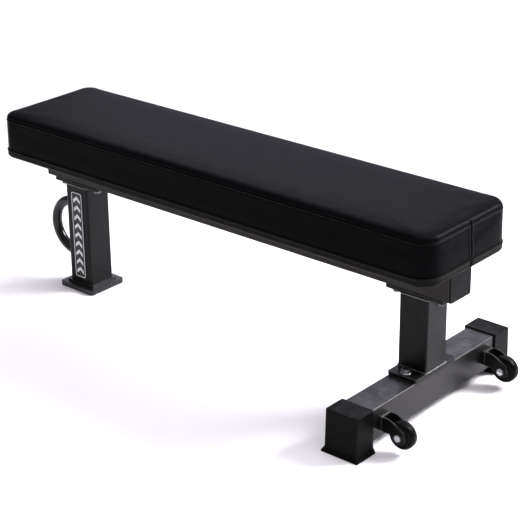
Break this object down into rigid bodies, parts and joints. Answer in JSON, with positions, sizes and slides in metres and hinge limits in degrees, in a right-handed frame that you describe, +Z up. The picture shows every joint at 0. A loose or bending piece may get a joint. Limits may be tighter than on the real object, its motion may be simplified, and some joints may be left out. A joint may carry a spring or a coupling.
{
  "type": "flat weight bench",
  "caption": "Fixed flat exercise bench: padded top on a square-tube backbone, one front post with a carry handle, and a T-shaped rear base with transport wheels.",
  "frame": {"origin": "middle of the whole object's footprint box, on the floor plane", "axes": "+X along the bench towards the T-base with the wheels, +Y to the left side, +Z up; the handle end is at -X"},
  "size_m": [1.211, 0.546, 0.443],
  "materials": {
    "vinyl": "satin black vinyl, fine leather grain",
    "plywood": "unfinished plywood",
    "dust_cloth": "black non-woven cloth",
    "black_paint": "satin black powder coat",
    "rubber": "matt moulded rubber",
    "tyre": "matt rubber tread",
    "plastic": "fine moulded texture",
    "zinc": "bright zinc plate",
    "dark_zinc": "black zinc plate",
    "label": "printed film, plain pattern"
  },
  "bodies": {
    "bench_frame": {"axle_bolt_left": "zinc", "axle_bolt_right": "zinc", "axle_nut_left": "zinc", "axle_nut_right": "zinc", "axle_sleeve_left": "zinc", "axle_sleeve_right": "zinc", "backbone_cap_front": "plastic", "backbone_cap_rear": "plastic", "backbone_tube": "black_paint", "base_bolt_left": "zinc", "base_bolt_right": "zinc", "base_washer_left": "zinc", "base_washer_right": "zinc", "carry_handle": "black_paint", "caster_block_left": "black_paint", "caster_block_right": "black_paint", "caster_fork_left": "black_paint", "caster_fork_right": "black_paint", "caster_screw_left": "dark_zinc", "caster_screw_right": "dark_zinc", "cross_tube": "black_paint", "floor_boot_left": "rubber", "floor_boot_right": "rubber", "front_foot_boot": "rubber", "front_foot_plate": "black_paint", "front_post": "black_paint", "front_top_plate": "black_paint", "pad_board": "plywood", "pad_bolt_front_left": "dark_zinc", "pad_bolt_front_right": "dark_zinc", "pad_bolt_rear_left": "dark_zinc", "pad_bolt_rear_right": "dark_zinc", "pad_bracket_front_left": "black_paint", "pad_bracket_front_right": "black_paint", "pad_bracket_rear_left": "black_paint", "pad_bracket_rear_right": "black_paint", "pad_cushion": "vinyl", "pad_dust_cover": "dust_cloth", "rear_base_plate": "black_paint", "rear_post": "black_paint", "rear_top_plate": "black_paint", "side_label": "label", "top_bolt_front_1": "dark_zinc", "top_bolt_front_2": "dark_zinc", "top_bolt_front_3": "dark_zinc", "top_bolt_front_4": "dark_zinc", "top_bolt_rear_1": "dark_zinc", "top_bolt_rear_2": "dark_zinc", "top_bolt_rear_3": "dark_zinc", "top_bolt_rear_4": "dark_zinc"},
    "wheel_left": {"wheel_hub_left": "plastic", "wheel_tyre_left": "tyre"},
    "wheel_right": {"wheel_hub_right": "plastic", "wheel_tyre_right": "tyre"}
  },
  "joints": [
    {"name": "wheel_left_spin", "type": "hinge", "parent": "bench_frame", "child": "wheel_left", "pos_m": [0.5765, 0.181, 0.043], "axis": [0, 1, 0], "continuous": true},
    {"name": "wheel_right_spin", "type": "hinge", "parent": "bench_frame", "child": "wheel_right", "pos_m": [0.5765, -0.181, 0.043], "axis": [0, 1, 0], "continuous": true}
  ]
}
